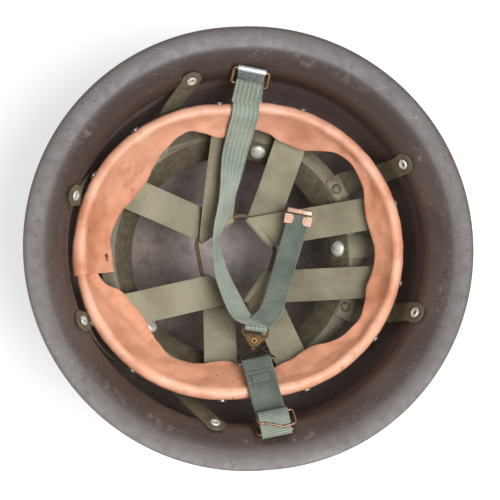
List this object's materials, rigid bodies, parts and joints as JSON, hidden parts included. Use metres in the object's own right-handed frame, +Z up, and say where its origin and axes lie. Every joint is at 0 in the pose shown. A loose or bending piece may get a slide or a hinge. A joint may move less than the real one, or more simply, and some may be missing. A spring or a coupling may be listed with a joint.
{
  "type": "steel helmet",
  "caption": "Wide-brimmed pressed steel helmet lying on its crown, with spring-hung leather liner, crown straps and a hooked chin strap",
  "frame": {"origin": "centre of the bounding box at the lowest point of the upturned crown", "axes": "+Z up, out of the open mouth of the upturned helmet; +X to the brow; +Y to the wearer's side that lies at the top of the picture"},
  "size_m": [0.2874, 0.2816, 0.1664],
  "materials": {
    "shell_paint": "semi-matt",
    "liner_paint": "worn matt olive over steel",
    "plain_steel": "dull",
    "blued_steel": "dull blue-grey",
    "tan_leather": "worn smooth",
    "crown_webbing": "woven",
    "green_webbing": "woven",
    "lace_cord": "braided",
    "brass": "tarnished",
    "copper_wire": "worn"
  },
  "bodies": {
    "helmet": {"shell": "shell_paint", "rear_bow_right": "liner_paint", "rear_bow_left": "liner_paint", "front_arm_right": "liner_paint", "front_arm_left": "liner_paint", "liner_ring": "liner_paint", "hanger_tabs": "liner_paint", "dome_rivets": "liner_paint", "flange_rivets": "liner_paint", "shell_rivets": "plain_steel", "tab_rivets": "plain_steel", "hoop_rivets": "plain_steel", "bracket_rivets": "plain_steel", "liner_hoop": "blued_steel", "strap_bracket_right": "blued_steel", "strap_bracket_left": "blued_steel", "sweatband": "tan_leather", "crown_strap_front_right": "crown_webbing", "crown_strap_rear_right": "crown_webbing", "crown_strap_rear_left": "crown_webbing", "crown_strap_front_left": "crown_webbing", "crown_lace": "lace_cord"},
    "right_loop": {"wire_loop_right": "brass"},
    "chin_web": {"chin_strap": "green_webbing", "strap_tip": "copper_wire"},
    "hook": {"hook_plate": "brass", "hook_eyelet": "brass"},
    "left_loop": {"wire_loop_left": "brass"},
    "short_web": {"short_strap": "green_webbing"},
    "ring": {"wire_ring": "plain_steel"},
    "clip": {"slide_clip": "copper_wire"}
  },
  "joints": [
    {"name": "right_loop_swing", "type": "hinge", "parent": "helmet", "child": "right_loop", "pos_m": [0.0088, 0.1142, 0.1555], "axis": [-0.9703, 0.2419, 0], "range_deg": [0, 50]},
    {"name": "chin_strap_swing", "type": "hinge", "parent": "right_loop", "child": "chin_web", "pos_m": [0.00659, 0.10534, 0.15143], "axis": [-0.9703, 0.2419, 0], "range_deg": [0, 40]},
    {"name": "hook_swing", "type": "hinge", "parent": "chin_web", "child": "hook", "pos_m": [0.00456, -0.05123, 0.12], "axis": [-0.9799, 0.1994, 0], "range_deg": [0, 45]},
    {"name": "left_loop_swing", "type": "hinge", "parent": "helmet", "child": "left_loop", "pos_m": [0.006, -0.1125, 0.1536], "axis": [0.9925, 0.1219, 0], "range_deg": [-26, 0]},
    {"name": "short_strap_swing", "type": "hinge", "parent": "left_loop", "child": "short_web", "pos_m": [0.00668, -0.11805, 0.16189], "axis": [0.9925, 0.1219, 0], "range_deg": [0, 47]},
    {"name": "ring_swing", "type": "hinge", "parent": "short_web", "child": "ring", "pos_m": [0.00115, -0.07299, 0.13429], "axis": [0.9925, 0.1219, 0], "range_deg": [-32, 0]},
    {"name": "clip_swing", "type": "hinge", "parent": "short_web", "child": "clip", "pos_m": [0.00522, -0.10614, 0.16029], "axis": [-0.9925, -0.1219, 0], "range_deg": [0, 25]}
  ],
  "couplings": [
    {"joint": "left_loop_swing", "follows": "right_loop_swing", "ratio": -0.5},
    {"joint": "short_strap_swing", "follows": "right_loop_swing", "ratio": 0.9},
    {"joint": "ring_swing", "follows": "right_loop_swing", "ratio": -0.6}
  ]
}
